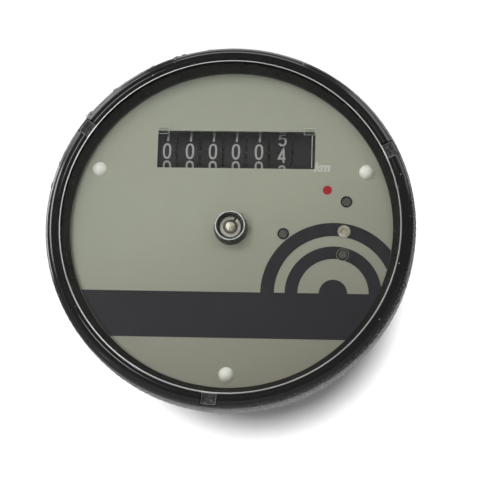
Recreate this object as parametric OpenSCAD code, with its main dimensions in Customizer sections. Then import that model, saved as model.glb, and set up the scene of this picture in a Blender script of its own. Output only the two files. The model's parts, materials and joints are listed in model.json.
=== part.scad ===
// Hubodometer: a sealed counter that screws into the hub cap of a truck wheel and counts its turns.
// The case turns with the wheel. Inside it a weighted movement hangs upright from the centre shaft,
// and the shaft's pinion drives the six number wheels through three gears and a worm.
// Millimetres. Y runs along the hub: the dial faces -Y and the stud points along +Y. Z is up, X is
// to the right of the dial, and the origin is the centre of the rear mounting face.
// Every module is drawn lying on its back, with z as the height above the mounting face towards
// the viewer, x to the right and y up, and face_viewer() stands it up.

/* [Case] */
// Thickness of the housing's side wall
wall_t = 2.5; // [2.2:0.1:2.8]
// How far the bezel stands out past the housing
bezel_rim = 1.7; // [1.5:0.1:2.4]
// Thickness of the housing's floor
floor_t = 2; // [1.8:0.1:3]
// Radius of the housing's rear corner
corner_r = 3; // [2:0.5:4]
// Diameter of the raised mounting face
pad_d = 28; // [24:1:36]
// Height of the raised mounting face
pad_h = 1; // [0.6:0.1:1.6]
// Thickness of the gasket under the bezel
gasket_t = 0.5; // [0.4:0.1:0.8]
// Number of fine grip ribs around the bezel
rib_count = 168; // [120:4:200]
// Depth of the grip ribs
rib_depth = 0.1; // [0.05:0.05:0.3]
// Width of the three lens lugs
lug_w = 3.3; // [2.5:0.1:4]

/* [Mounting stud] */
// Major diameter of the stud's thread
stud_d = 15.88; // [14:0.01:18]
// Length of the stud behind the mounting face
stud_len = 19.5; // [16:0.5:26]
// Chamfer at the stud's end
stud_chamfer = 1.2; // [0.8:0.1:1.6]

/* [Lens] */
// Thickness of the lens
lens_t = 1.7; // [1.5:0.1:2.4]
// Free height between the dial and the lens
lens_gap = 3.3; // [3.3:0.1:4.5]

/* [Movement] */
// Thickness of the dial
dial_t = 0.8; // [0.6:0.1:1.2]
// Height of the printed band across the dial
band_h = 10.55; // [8:0.05:12]
// Thickness of the front movement plate
front_plate_t = 1.2; // [1:0.1:1.6]
// Thickness of the rear movement plate
rear_plate_t = 1; // [0.8:0.1:1.4]
// Room between the two movement plates
plate_gap = 14; // [14:0.1:15]
// Gap between the housing's floor and the rear plate
rear_gap = 0.6; // [0.4:0.1:1]
// Height of the weight's flat top below the centre
weight_drop = 12.8; // [12.6:0.1:16]
// Module of the gears
gear_m = 0.4; // [0.38:0.005:0.42]
// Diameter of the white rivet heads
rivet_d = 3.45; // [3:0.05:4]

/* [Centre shaft] */
// Diameter of the shaft's running part
shaft_d = 3.2; // [3:0.05:3.3]
// Diameter of the shaft's foot in the stud
shaft_foot_d = 4.4; // [4:0.1:6]
// Diameter of the front bush at its foot
boss_d = 7.7; // [7.2:0.1:8.4]
// Height of the front bush above the dial
boss_h = 3.15; // [2.9:0.05:3.2]

/* [Counter] */
// Diameter of the number wheels
wheel_d = 13.2; // [13.2:0.02:13.3]
// Spacing of the number wheels
wheel_pitch = 5.33; // [5.28:0.01:5.36]
// Width of the printed rim of a number wheel
rim_w = 4; // [3.8:0.02:4.04]
// Width of the blank drum at the right of the wheels
drum_w = 4.8; // [4:0.1:6]
// Offset of the window's middle to the right of the centre
window_x = 0.6; // [0:0.1:1.2]
// Height of the window
window_h = 8.85; // [8:0.05:9.2]
// Pitch diameter of the worm
worm_d = 3.37; // [3:0.01:3.6]
// Diameter of the counter's shaft
counter_shaft_d = 2; // [1.6:0.1:2.4]

/* [Hidden] */
$fn = 96;

// Clearances
run = 0.05;      // radial room of a shaft that runs in a hole
nip = 0.02;      // radial room of parts that are pushed together by hand
eps = 0.01;      // overshoot of a cut
past = 100;      // length of a cut that goes right through

// Heights above the mounting face, from the rear to the front
floor_top = pad_h + floor_t;
rear_plate_z = floor_top + rear_gap;
movement_z = rear_plate_z + rear_plate_t;
front_plate_z = movement_z + plate_gap;
dial_z = front_plate_z + front_plate_t;
dial_top = dial_z + dial_t;
spigot_top = dial_top + 0.3;
lens_z = dial_top + lens_gap;
lens_top = lens_z + lens_t;
flange_t = lens_t * 0.55;
bezel_top = lens_top + 0.2;
shoulder_z = spigot_top - 4.1;
bezel_z = shoulder_z + gasket_t;

// Gear train: tooth counts, and where each arbor stands
drive_z = 12;
first_z = 48;
first_pinion_z = 13;
second_z = 56;
second_pinion_z = 8;
third_z = 58;
worm_wheel_z = 24;
mesh_room = 0.02;
tooth_add = 0.85;
tooth_ded = 1.15;
first_pos = polar(gear_m * (drive_z + first_z) / 2 + mesh_room, -5);
second_pos = first_pos + polar(gear_m * (first_pinion_z + second_z) / 2 + mesh_room, 2.9);
second_reach = norm(second_pos) + gear_m * (second_z / 2 + tooth_add);

// Radii of the case, which is as tight as the second gear lets it be, to a tenth
cavity_r = ceil(10 * (second_reach + 0.4)) / 10;
housing_r = cavity_r + wall_t;
spigot_r = housing_r - 0.8;
bezel_r = housing_r + bezel_rim;
lens_r = cavity_r + 0.9;
lens_flange_r = spigot_r;
socket_r = lens_flange_r + 0.1;
lip_r = lens_r + 0.1;
notch_w = lug_w + 0.4;
lug_reach = bezel_r - 0.8;
lug_angles = [26.3, 146.4, 265.2];
rib_lead = 2.6;
stud_r = stud_d / 2;
neck_r = stud_r - 1.9;
swage_r = neck_r + 1;

// Radii of the movement
dial_r = cavity_r - 0.6;
plate_r = dial_r - 0.8;
weight_r = plate_r - 0.2;
shaft_r = shaft_d / 2;
foot_r = shaft_foot_d / 2;
foot_depth = 6;
rivet_ring_r = dial_r - 3.6;
rivet_angles = [24, 156, 270];
rivet_shank_r = 1;
pillar_angles = [90, 170];
pillar_r = 2;
pillar_end_r = 1;
screw_angles = [226.4, 313.6];
screw_r = 1.25;
screw_head_r = 2.4;
screw_grip = 8.5;
bearing_r = shaft_r + 1.2;
bearing_flange_r = shaft_r + 2.6;
rear_slots = [[24, 187, 6], [15.6, 140, 6], [24, 90, 5]];

// The bush at the middle of the dial, with the shaft's ring in its recess
recess_r = boss_d / 2 - 0.9;
recess_z = dial_top + 0.9;
ring_z = recess_z + 0.1;
ring_t = 0.6;
ring_r = recess_r - 0.55;
ring_gap = 0.5;
ring_gap_angle = 60;
groove_r = shaft_r - 0.3;
tip_r = 0.85;
boss_top = dial_top + boss_h;
neck_bush_r = boss_d / 2 - 0.85;

// Print on the dial: a band, arcs that rise from it at the right, and a round red mark
print_t = 0.04;
band_top = -14.75;
arcs_x = 23.5;
arc_rings = [[0, 3.2], [8, 10.9], [13.3, 16.4]];
red_place = [21.8, 9.3];
red_r = 1.05;

// Pins and the bridge that holds the second arbor's front end
axle_r = 0.95;
arbor_r = 0.6;
collar_r = 1.33;
bridge_pin_places = [second_pos + [0.4, 6.95], second_pos + [-0.3, -5.4]];
bridge_t = 0.9;
bridge_edge = 1.45;
pivot_bush_r = 1.38;
gear_t = 1;
third_hub_r = 1.4;

// Number wheels and what turns them
wheel_r = wheel_d / 2;
wheel_count = 6;
counter_z = dial_z - 0.7 - wheel_r;
rim_half = rim_w / 2;
lock_w = 0.67;
lock_r = wheel_r - 0.2;
wheel_gear_z = 20;
transfer_m = wheel_d / (wheel_gear_z + 2);
transfer_z = 8;
transfer_dist = transfer_m * (wheel_gear_z + transfer_z) / 2;
transfer_angle = 210;
counter_shaft_r = counter_shaft_d / 2;
pinion_shaft_r = 0.8;
wheel_gap = wheel_pitch - rim_w - lock_w;
wheel_gear_w = wheel_gap - 0.01;
window_side = 0.1;
window_w = (wheel_count - 1) * wheel_pitch + rim_w + wheel_gear_w + drum_w + 3 * window_side;
first_wheel_x = window_x - window_w / 2 + window_side + rim_half;
last_wheel_x = first_wheel_x + (wheel_count - 1) * wheel_pitch;
drum_x0 = last_wheel_x + rim_half + wheel_gear_w;
drum_x1 = drum_x0 + drum_w;
cheek_t = 0.6;
cheek_right = drum_x1 + 2 * window_side;
cheek_left = first_wheel_x - rim_half - lock_w - 2 * window_side - cheek_t;
cheek_low = 5.6;
tab_inset = 3;
tab_len = 8;
tab_reach = 4.3;
readings = [0, 0, 0, 0, 0, 4.2];

// The worm stands where the second gear's pinion and the worm wheel both reach it
worm_hub_r = 2.2;
worm_x = cheek_right + cheek_t + worm_hub_r;
third_dist = gear_m * (second_pinion_z + third_z) / 2 + mesh_room;
worm_y = second_pos[1] + sqrt(pow(third_dist, 2) - pow(worm_x - second_pos[0], 2));
third_pos = [worm_x, worm_y];
worm_wheel_r = gear_m * worm_wheel_z / 2;
worm_r = worm_d / 2;
worm_core_r = worm_r - 1.2 * gear_m;
worm_half = 7 * gear_m;
worm_wheel_w = 4 * gear_m;
worm_lead = PI * gear_m;
counter_y = worm_y + worm_r + worm_wheel_r;
strip_y = counter_y + wheel_r + 0.35;
pinion_y = counter_y + transfer_dist * cos(transfer_angle);
pinion_z = counter_z + transfer_dist * sin(transfer_angle);

// Heights of the gears between the plates
third_t = 0.7;
gear_step = 2.4;
third_gear_z = movement_z + 0.35;
second_gear_z = front_plate_z - bridge_t - 0.4 - 0.9;
second_t = 0.9;
first_gear_z = second_gear_z - gear_step;

// Tooth outlines: widths at the tip, the pitch circle and the root, as shares of the module
wheel_tooth = [0.50, 1.25, 1.90];
pinion_tooth = [0.48, 1.25, 1.50];
leaf_tooth = [0.42, 1.25, 1.15];
worm_ridge = [1.8, 0.5];
worm_add = 0.9;

// Stands a part up, so that its height points at the viewer
module face_viewer() {
    rotate([90, 0, 0]) children();
}

// Lays a part's z along x at the counter's axis: its x then points up and its y at the viewer
module on_counter_axis(x0 = 0) {
    translate([x0, counter_y, counter_z]) rotate([90, 0, 90]) children();
}

// A ring from z0 to z1
module tube(r_out, r_in, z0, z1) {
    translate([0, 0, z0]) difference() {
        cylinder(r = r_out, h = z1 - z0);
        translate([0, 0, -eps]) cylinder(r = r_in, h = z1 - z0 + 2 * eps);
    }
}

// A plain round bar from z0 to z1
module bar(r, z0, z1) {
    translate([0, 0, z0]) cylinder(r = r, h = z1 - z0);
}

function polar(r, a) = [r * cos(a), r * sin(a)];

function arc(c, r, a0, a1, steps = 6) =
    [for (i = [0:steps]) c + polar(r, a0 + (a1 - a0) * i / steps)];

// One corner of a tooth: side is -1 or 1, width is a share of the module
function tooth_corner(r, a, side, width, m) = polar(r, a + side * width * m / 2 / r * 180 / PI);

// Outline of a toothed wheel, with one tooth at the angle phase
function gear_outline(z, m, shape, phase = 0) =
    let (r = z * m / 2, root = r - tooth_ded * m, tip = r + tooth_add * m)
    [for (i = [0:z - 1]) let (a = phase + 360 * i / z) each [
        tooth_corner(root, a, -1, shape[2], m),
        tooth_corner(r, a, -1, shape[1], m),
        tooth_corner(tip, a, -1, shape[0], m),
        tooth_corner(tip, a, 1, shape[0], m),
        tooth_corner(r, a, 1, shape[1], m),
        tooth_corner(root, a, 1, shape[2], m)]];

module toothed_disc(z, m, shape, phase, z0, z1) {
    translate([0, 0, z0]) linear_extrude(z1 - z0) polygon(gear_outline(z, m, shape, phase));
}

// Direction from one arbor to the next
function heading(from, to) = atan2(to[1] - from[1], to[0] - from[0]);

// Angle of a driven wheel's tooth when the driver has a tooth on the line of centres
function meshed(from, to, z) = heading(from, to) + 180 + 180 / z;

// Case

module rear_housing() {
    color("silver") face_viewer() rotate_extrude() polygon(concat(
        [[neck_r, 0], [pad_d / 2 - 0.4, 0], [pad_d / 2, 0.4], [pad_d / 2, pad_h]],
        arc([housing_r - 0.8 - corner_r, pad_h + corner_r], corner_r, -90, 0),
        [[housing_r, shoulder_z - 4], [housing_r, shoulder_z], [spigot_r, shoulder_z],
            [spigot_r, spigot_top], [cavity_r, spigot_top]],
        arc([cavity_r - 1, floor_top + 1], 1, 0, -90, 4),
        [[swage_r, floor_top], [neck_r, floor_top - 1]]));
}

module mounting_stud() {
    color("lightsteelblue") face_viewer() rotate_extrude() polygon([
        [0, -stud_len], [stud_r - stud_chamfer, -stud_len], [stud_r, stud_chamfer - stud_len],
        [stud_r, 0], [neck_r, 0], [neck_r, floor_top - 1], [swage_r, floor_top],
        [foot_r, floor_top], [foot_r, floor_top - foot_depth], [0, floor_top - foot_depth]]);
}

module case_gasket() {
    color("black") face_viewer() tube(bezel_r - 0.8, spigot_r + nip, shoulder_z, bezel_z);
}

// One notch for a lens lug, cut down from the bezel's face
module lug_block(width, r0, r1, z0, z1) {
    for (a = lug_angles) rotate(a) translate([r0, -width / 2, z0]) cube([r1 - r0, width, z1 - z0]);
}

module front_bezel() {
    band_z0 = bezel_z + 0.9;
    band_z1 = bezel_top - rib_lead;
    skirt_r = bezel_r - rib_depth;
    color("dimgray") face_viewer() difference() {
        union() {
            rotate_extrude() polygon(concat(
                [[spigot_r + nip, bezel_z], [skirt_r - 0.5, bezel_z], [skirt_r, bezel_z + 0.5]],
                arc([skirt_r - 1.4, bezel_top - 1.6], 1.4, 0, 80, 6),
                [[skirt_r - 1.5, bezel_top], [lip_r, bezel_top], [lip_r, lens_z + flange_t],
                    [socket_r, lens_z + flange_t], [socket_r, spigot_top],
                    [spigot_r + nip, spigot_top]]));
            translate([0, 0, band_z0]) linear_extrude(band_z1 - band_z0) difference() {
                polygon([for (i = [0:2 * rib_count - 1])
                    polar(i % 2 == 0 ? bezel_r : skirt_r + nip, 180 * i / rib_count)]);
                circle(r = skirt_r - 0.5);
            }
        }
        lug_block(notch_w, lip_r - 0.3, lug_reach + 0.2, lens_z, bezel_top + 1);
    }
}

module lens() {
    color("white", 0.3) face_viewer() union() {
        rotate_extrude() polygon([[0, lens_z], [lens_flange_r, lens_z],
            [lens_flange_r, lens_z + flange_t], [lens_r, lens_z + flange_t],
            [lens_r, lens_top - 0.25], [lens_r - 0.25, lens_top], [0, lens_top]]);
        lug_block(lug_w, lens_r - 1, lug_reach, lens_z, lens_z + flange_t + 0.35);
    }
}

module seal_ring() {
    inner_r = dial_r - 0.4;
    color("black") face_viewer() rotate_extrude() polygon([
        [cavity_r + 0.2, spigot_top], [lens_flange_r, spigot_top], [lens_flange_r, lens_z],
        [inner_r + 1.5, lens_z], [inner_r, spigot_top + 1.2], [inner_r, spigot_top + 0.25],
        [cavity_r + 0.1, spigot_top + 0.25]]);
}

module centre_shaft() {
    dome_z = boss_top - 0.55;
    dome_r = 1.25 * shaft_r;
    dome_c = dome_z - sqrt(pow(dome_r, 2) - pow(tip_r, 2));
    color("lightgray") face_viewer() rotate_extrude() polygon(concat(
        [[0, floor_top - foot_depth], [foot_r, floor_top - foot_depth],
            [foot_r, floor_top + rear_gap / 2], [shaft_r, floor_top + rear_gap / 2],
            [shaft_r, ring_z], [groove_r, ring_z], [groove_r, ring_z + ring_t],
            [shaft_r, ring_z + ring_t]],
        arc([0, dome_c], dome_r, acos(shaft_r / dome_r), acos(tip_r / dome_r), 6),
        [[0.65, dome_z + 0.05], [0.6, dome_z + 0.35], [0, dome_z + 0.4]]));
}

module drive_pinion() {
    color("gold") face_viewer() difference() {
        toothed_disc(drive_z, gear_m, pinion_tooth, heading([0, 0], first_pos),
            first_gear_z - 0.4, first_gear_z + gear_t + 0.4);
        bar(shaft_r, first_gear_z - 1, first_gear_z + gear_t + 1);
    }
}

module retaining_ring() {
    color("silver") face_viewer() difference() {
        tube(ring_r, groove_r, ring_z, ring_z + ring_t);
        rotate(ring_gap_angle) translate([groove_r - 0.5, -ring_gap / 2, ring_z - 1])
            cube([ring_r, ring_gap, ring_t + 2]);
    }
}

// Movement

// Places each child at every white rivet
module at_rivets() {
    for (a = rivet_angles) translate(polar(rivet_ring_r, a)) children();
}

module at_places(places) {
    for (p = places) translate(p) children();
}

module at_pillars() {
    for (a = pillar_angles) translate(polar(plate_r - 3.6, a)) children();
}

module at_screws() {
    for (a = screw_angles) translate(polar(weight_r - 7.2, a)) children();
}

module rear_plate() {
    color("darkgray") face_viewer() difference() {
        bar(plate_r, rear_plate_z, movement_z);
        bar(bearing_r, 0, front_plate_z);
        translate(first_pos) bar(axle_r, 0, front_plate_z);
        translate(second_pos) bar(arbor_r + run, 0, front_plate_z);
        translate(third_pos) bar(arbor_r + run, 0, front_plate_z);
        at_screws() bar(screw_r, 0, front_plate_z);
        at_pillars() bar(pillar_end_r, 0, front_plate_z);
        for (s = rear_slots) translate(polar(s[0], s[1])) bar(s[2], 0, front_plate_z);
    }
}

module rear_bearing() {
    color("goldenrod") face_viewer() difference() {
        union() {
            bar(bearing_r, rear_plate_z - rear_gap / 2 + 0.1, movement_z + 2.8);
            bar(bearing_flange_r, movement_z, movement_z + 0.8);
        }
        bar(shaft_r + run, 0, front_plate_z);
    }
}

// The window's opening, grown by margin on each side
module window_cut(margin, z0, z1) {
    translate([window_x - window_w / 2 - margin, counter_y - window_h / 2 - margin, z0])
        cube([window_w + 2 * margin, window_h + 2 * margin, z1 - z0]);
}

module front_plate() {
    color("gray") face_viewer() difference() {
        bar(plate_r, front_plate_z, dial_z);
        window_cut(0.6, 0, past);
        bar(neck_bush_r, 0, past);
        translate(first_pos) bar(axle_r, 0, past);
        translate(second_pos) bar(pivot_bush_r, 0, past);
        translate(third_pos) bar(arbor_r + run, 0, past);
        at_places(bridge_pin_places) bar(axle_r, 0, past);
        at_pillars() bar(pillar_end_r, 0, past);
        at_rivets() bar(rivet_shank_r, 0, past);
    }
}

module front_bush() {
    color([0.08, 0.08, 0.08]) face_viewer() rotate_extrude() polygon([
        [shaft_r + run, front_plate_z - 1], [bearing_flange_r, front_plate_z - 1],
        [bearing_flange_r, front_plate_z],
        [neck_bush_r, front_plate_z], [neck_bush_r, dial_top], [boss_d / 2, dial_top],
        [boss_d / 2, dial_top + 0.5], [boss_d / 2 - 0.35, boss_top - 0.25],
        [boss_d / 2 - 0.5, boss_top], [recess_r, boss_top], [recess_r, recess_z],
        [shaft_r + run, recess_z]]);
}

module dial_plate() {
    color([0.58, 0.59, 0.53]) face_viewer() difference() {
        bar(dial_r, dial_z, dial_top);
        window_cut(0, 0, past);
        bar(neck_bush_r, 0, past);
        at_rivets() bar(rivet_shank_r, 0, past);
        at_places(concat(bridge_pin_places, [first_pos])) bar(collar_r, 0, past);
        translate(second_pos) bar(pivot_bush_r, 0, past);
    }
}

module dial_print() {
    color([0.17, 0.17, 0.18]) face_viewer() translate([0, 0, dial_top])
        linear_extrude(print_t) difference() {
            intersection() {
                circle(r = dial_r - 0.5);
                union() {
                    translate([-dial_r, band_top - band_h]) square([2 * dial_r, band_h]);
                    translate([arcs_x, band_top]) intersection() {
                        union() for (ring = arc_rings) difference() {
                            circle(r = ring[1]);
                            if (ring[0] > 0) circle(r = ring[0]);
                        }
                        translate([-dial_r, -eps]) square(2 * dial_r);
                    }
                }
            }
            for (p = bridge_pin_places) translate(p) circle(r = collar_r + 0.1);
            translate(second_pos) circle(r = pivot_bush_r + 0.1);
        }
}

module red_mark() {
    color([0.7, 0.1, 0.12]) face_viewer() translate(red_place)
        bar(red_r, dial_top, dial_top + print_t);
}

module dial_rivets() {
    head_h = 1.3;
    sphere_r = (pow(rivet_d / 2, 2) + pow(head_h, 2)) / (2 * head_h);
    color("ivory") face_viewer() at_rivets() union() {
        bar(rivet_shank_r, front_plate_z, dial_top);
        translate([0, 0, dial_top]) rotate_extrude() polygon(concat([[0, 0]],
            arc([0, head_h - sphere_r], sphere_r, asin((sphere_r - head_h) / sphere_r), 90, 8)));
    }
}

module pendulum_weight() {
    color("slategray") face_viewer() difference() {
        translate([0, 0, movement_z]) linear_extrude(plate_gap) intersection() {
            circle(r = weight_r);
            translate([-weight_r, -weight_r - weight_drop]) square([2 * weight_r, weight_r]);
        }
        at_screws() bar(screw_r, 0, movement_z + screw_grip + 0.5);
    }
}

module weight_screws() {
    color("silver") face_viewer() at_screws() union() {
        bar(screw_r, rear_plate_z, movement_z + screw_grip);
        bar(screw_head_r, floor_top + rear_gap / 3, rear_plate_z);
    }
}

module plate_pillars() {
    color("gainsboro") face_viewer() at_pillars() union() {
        bar(pillar_r, movement_z, front_plate_z);
        bar(pillar_end_r, rear_plate_z, dial_z);
    }
}

module gear_axle() {
    color("dimgray") face_viewer() translate(first_pos) bar(axle_r, rear_plate_z, dial_top);
}

module pin_collars() {
    color([0.05, 0.05, 0.05]) face_viewer() at_places(concat(bridge_pin_places, [first_pos]))
        tube(collar_r, axle_r, dial_z, dial_top + 0.1);
}

module bridge_pins() {
    color("dimgray") face_viewer() at_places(bridge_pin_places)
        bar(axle_r, front_plate_z - bridge_t, dial_top);
}

module pivot_bridge() {
    end_r = axle_r + bridge_edge;
    color("darkgray") face_viewer() difference() {
        translate([0, 0, front_plate_z - bridge_t]) linear_extrude(bridge_t) union() {
            for (p = bridge_pin_places) translate(p) circle(r = end_r);
            translate([bridge_pin_places[1][0] - end_r + 0.35, bridge_pin_places[1][1]])
                square([2 * end_r, bridge_pin_places[0][1] - bridge_pin_places[1][1]]);
        }
        at_places(bridge_pin_places) bar(axle_r, 0, past);
        translate(second_pos) bar(pivot_bush_r, 0, past);
    }
}

module pivot_bush() {
    color("khaki") face_viewer() translate(second_pos)
        tube(pivot_bush_r, arbor_r + run, front_plate_z - bridge_t, dial_top + 0.25);
}

// Counter

// One side cheek of the counter's frame, drawn with x up and y towards the viewer
module cheek(x0, shaft_hole) {
    top = strip_y + 0.8 - counter_y;
    front = front_plate_z - counter_z;
    translate([x0, counter_y, counter_z]) rotate([90, 0, 90]) difference() {
        linear_extrude(cheek_t) polygon([
            [top, -4.5], [top - 1.5, -6.1], [pinion_y - counter_y - 1.7, -6.1],
            [pinion_y - counter_y - 1.7, pinion_z - counter_z + 1.2], [-cheek_low, -1],
            [-cheek_low, front], [top, front]]);
        translate([0, 0, -1]) cylinder(r = shaft_hole, h = cheek_t + 2);
        translate([pinion_y - counter_y, pinion_z - counter_z, -1])
            cylinder(r = pinion_shaft_r, h = cheek_t + 2);
    }
}

module counter_frame() {
    width = cheek_right + cheek_t - cheek_left;
    color("gray") face_viewer() union() {
        cheek(cheek_left, counter_shaft_r + run);
        cheek(cheek_right, counter_shaft_r + run);
        translate([cheek_left, strip_y, counter_z - 4.5])
            cube([width, 0.8, front_plate_z - counter_z + 4.5]);
        for (x = [cheek_left + tab_inset, cheek_right - tab_inset - tab_len])
            translate([x, strip_y, front_plate_z - 0.8]) cube([tab_len, tab_reach, 0.8]);
    }
}

module pinion_shaft() {
    color("silver") face_viewer() translate([cheek_left, pinion_y, pinion_z]) rotate([0, 90, 0])
        cylinder(r = pinion_shaft_r, h = cheek_right + cheek_t - cheek_left);
}

module window_insert() {
    pane_t = dial_top - dial_z;
    tab_w = 2.6;
    tab_h = 1.6;
    left = window_x - window_w / 2 + nip;
    right = window_x + window_w / 2 - nip;
    top = counter_y + window_h / 2 - nip;
    color("white", 0.3) face_viewer() union() {
        window_cut(-nip, dial_z, dial_top);
        for (x = [left, right - tab_w]) translate([x, top - tab_h / 2, dial_top])
            cube([tab_w, tab_h, 0.3]);
    }
}

// The number wheel at place i, counted from the left: lock ring, printed rim and gear
module number_wheel(i) {
    turn = 36 * readings[i];
    gap_r = wheel_r - 1.3;
    x0 = first_wheel_x + i * wheel_pitch;
    bore = i == wheel_count - 1 ? counter_shaft_r : counter_shaft_r + run;
    color([0.1, 0.1, 0.1]) face_viewer() on_counter_axis(x0) rotate(turn) difference() {
        union() {
            bar(wheel_r, -rim_half, rim_half);
            translate([0, 0, -rim_half - lock_w]) linear_extrude(lock_w + eps) difference() {
                circle(r = lock_r);
                polygon([polar(gap_r, transfer_angle + 12), polar(gap_r + 1.7, transfer_angle + 9),
                    polar(gap_r + 1.7, transfer_angle + 27), polar(gap_r, transfer_angle + 24)]);
            }
            toothed_disc(wheel_gear_z, transfer_m, wheel_tooth,
                transfer_angle + 180 / wheel_gear_z, rim_half - eps, rim_half + wheel_gear_w);
        }
        bar(bore, -rim_half - 1, rim_half + 2);
    }
}

// The pinion between the wheels i and i + 1: eight leaves at the left, four at the right
module transfer_pinion(i) {
    x0 = first_wheel_x + i * wheel_pitch + rim_half + 0.05;
    mid = wheel_gear_w - 0.08;
    wide = wheel_gap + lock_w - 0.1;
    facing = transfer_angle + 180;
    full = gear_outline(transfer_z, transfer_m, leaf_tooth, facing);
    color("white") face_viewer() translate([x0, pinion_y, pinion_z]) rotate([90, 0, 90])
        difference() {
            union() {
                linear_extrude(mid) polygon(full);
                linear_extrude(wide) intersection() {
                    polygon(full);
                    union() {
                        circle(r = 1.7);
                        rotate(facing) for (a = [45, 135]) rotate(a) square([8, 1.6], center = true);
                    }
                }
            }
            bar(pinion_shaft_r + run, -1, wide + 1);
        }
}

module blank_drum() {
    color([0.1, 0.1, 0.1]) face_viewer() on_counter_axis()
        tube(wheel_r - 0.1, counter_shaft_r, drum_x0, drum_x1);
}

module counter_shaft() {
    color("silver") face_viewer() on_counter_axis()
        bar(counter_shaft_r, cheek_left, worm_x + worm_wheel_w / 2 + 0.5);
}

module worm_wheel() {
    color("gold") face_viewer() on_counter_axis() difference() {
        union() {
            toothed_disc(worm_wheel_z, gear_m, wheel_tooth, 180 + 180 / worm_wheel_z,
                worm_x - worm_wheel_w / 2, worm_x + worm_wheel_w / 2);
            bar(worm_hub_r, cheek_right + cheek_t + 0.1, worm_x);
        }
        bar(counter_shaft_r, 0, past);
    }
}

// Gears on arbors that run from plate to plate

module first_gear() {
    color("white") face_viewer() translate(first_pos) difference() {
        union() {
            toothed_disc(first_z, gear_m, wheel_tooth, meshed([0, 0], first_pos, first_z),
                first_gear_z, first_gear_z + gear_t);
            toothed_disc(first_pinion_z, gear_m, pinion_tooth, heading(first_pos, second_pos),
                first_gear_z + gear_t - eps, second_gear_z + second_t + 0.2);
            bar(2, movement_z + 0.1, first_gear_z + eps);
        }
        bar(axle_r + run, 0, past);
    }
}

module second_gear() {
    color("white") face_viewer() translate(second_pos) difference() {
        union() {
            toothed_disc(second_z, gear_m, wheel_tooth, meshed(first_pos, second_pos, second_z),
                second_gear_z, second_gear_z + second_t);
            toothed_disc(second_pinion_z, gear_m, leaf_tooth, heading(second_pos, third_pos),
                movement_z + 0.1, third_gear_z + third_t + 0.3);
            bar(1.1, third_gear_z + third_t + 0.3 - eps, second_gear_z + eps);
        }
        bar(arbor_r, 0, past);
    }
}

module second_arbor() {
    color("silver") face_viewer() translate(second_pos)
        bar(arbor_r, rear_plate_z, dial_top - 0.1);
}

module third_gear() {
    color("gold") face_viewer() translate(third_pos) difference() {
        union() {
            toothed_disc(third_z, gear_m, wheel_tooth, meshed(second_pos, third_pos, third_z),
                third_gear_z, third_gear_z + third_t);
            bar(third_hub_r, third_gear_z, third_gear_z + third_t + 1.2);
        }
        bar(arbor_r, 0, past);
    }
}

// A ridge wound around the worm's core, with steps rings of four points to each turn
function ridge_ring(a) =
    let (z = worm_lead * (a - 90) / 360, foot = worm_core_r - 0.2, tip = worm_r + worm_add * gear_m,
        w = worm_ridge * gear_m / 2)
    [for (p = [[foot, -w[0]], [foot, w[0]], [tip, w[1]], [tip, -w[1]]])
        [p[0] * cos(a), p[0] * sin(a), z + p[1]]];

module worm_thread() {
    steps = 16;
    turns = 3.5;
    last = floor(steps * turns);
    rings = [for (i = [0:last]) ridge_ring(90 + 360 * (i - last / 2) / steps)];
    sides = [for (i = [0:last - 1], k = [0:3])
        let (n = (k + 1) % 4) each [[4 * i + n, 4 * i + k, 4 * i + 4 + k],
            [4 * i + n, 4 * i + 4 + k, 4 * i + 4 + n]]];
    ends = [[0, 1, 2], [0, 2, 3], [4 * last, 4 * last + 2, 4 * last + 1],
        [4 * last, 4 * last + 3, 4 * last + 2]];
    polyhedron(points = [for (r = rings) each r], faces = concat(sides, ends));
}

module worm() {
    color("silver") face_viewer() translate(third_pos) union() {
        bar(worm_core_r, counter_z - worm_half, counter_z + worm_half);
        bar(arbor_r, rear_plate_z, dial_z - 0.1);
        translate([0, 0, counter_z]) worm_thread();
    }
}

rear_housing();
mounting_stud();
case_gasket();
front_bezel();
lens();
seal_ring();
centre_shaft();
drive_pinion();
retaining_ring();
rear_plate();
rear_bearing();
front_plate();
front_bush();
dial_plate();
dial_print();
red_mark();
dial_rivets();
pendulum_weight();
weight_screws();
plate_pillars();
gear_axle();
pin_collars();
bridge_pins();
pivot_bridge();
pivot_bush();
counter_frame();
pinion_shaft();
window_insert();
first_gear();
second_gear();
second_arbor();
third_gear();
worm();
counter_shaft();
worm_wheel();
blank_drum();
number_wheel(0);  // number_wheel_1
number_wheel(1);  // number_wheel_2
number_wheel(2);  // number_wheel_3
number_wheel(3);  // number_wheel_4
number_wheel(4);  // number_wheel_5
number_wheel(5);  // number_wheel_6
transfer_pinion(0);  // transfer_pinion_1
transfer_pinion(1);  // transfer_pinion_2
transfer_pinion(2);  // transfer_pinion_3
transfer_pinion(3);  // transfer_pinion_4
transfer_pinion(4);  // transfer_pinion_5
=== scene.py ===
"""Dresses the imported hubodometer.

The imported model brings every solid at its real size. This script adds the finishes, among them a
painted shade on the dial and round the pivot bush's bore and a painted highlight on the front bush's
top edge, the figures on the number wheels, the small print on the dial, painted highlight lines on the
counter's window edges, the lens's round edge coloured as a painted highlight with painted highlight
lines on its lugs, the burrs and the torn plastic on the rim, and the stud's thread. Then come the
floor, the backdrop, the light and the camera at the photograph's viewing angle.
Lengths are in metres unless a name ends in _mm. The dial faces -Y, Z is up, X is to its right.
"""

import json
import logging
import math
from dataclasses import dataclass, field
from enum import Enum
from functools import cached_property, partial, reduce
from random import Random
from typing import Callable

import bmesh
import bpy
from mathutils import Matrix, Vector

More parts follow.
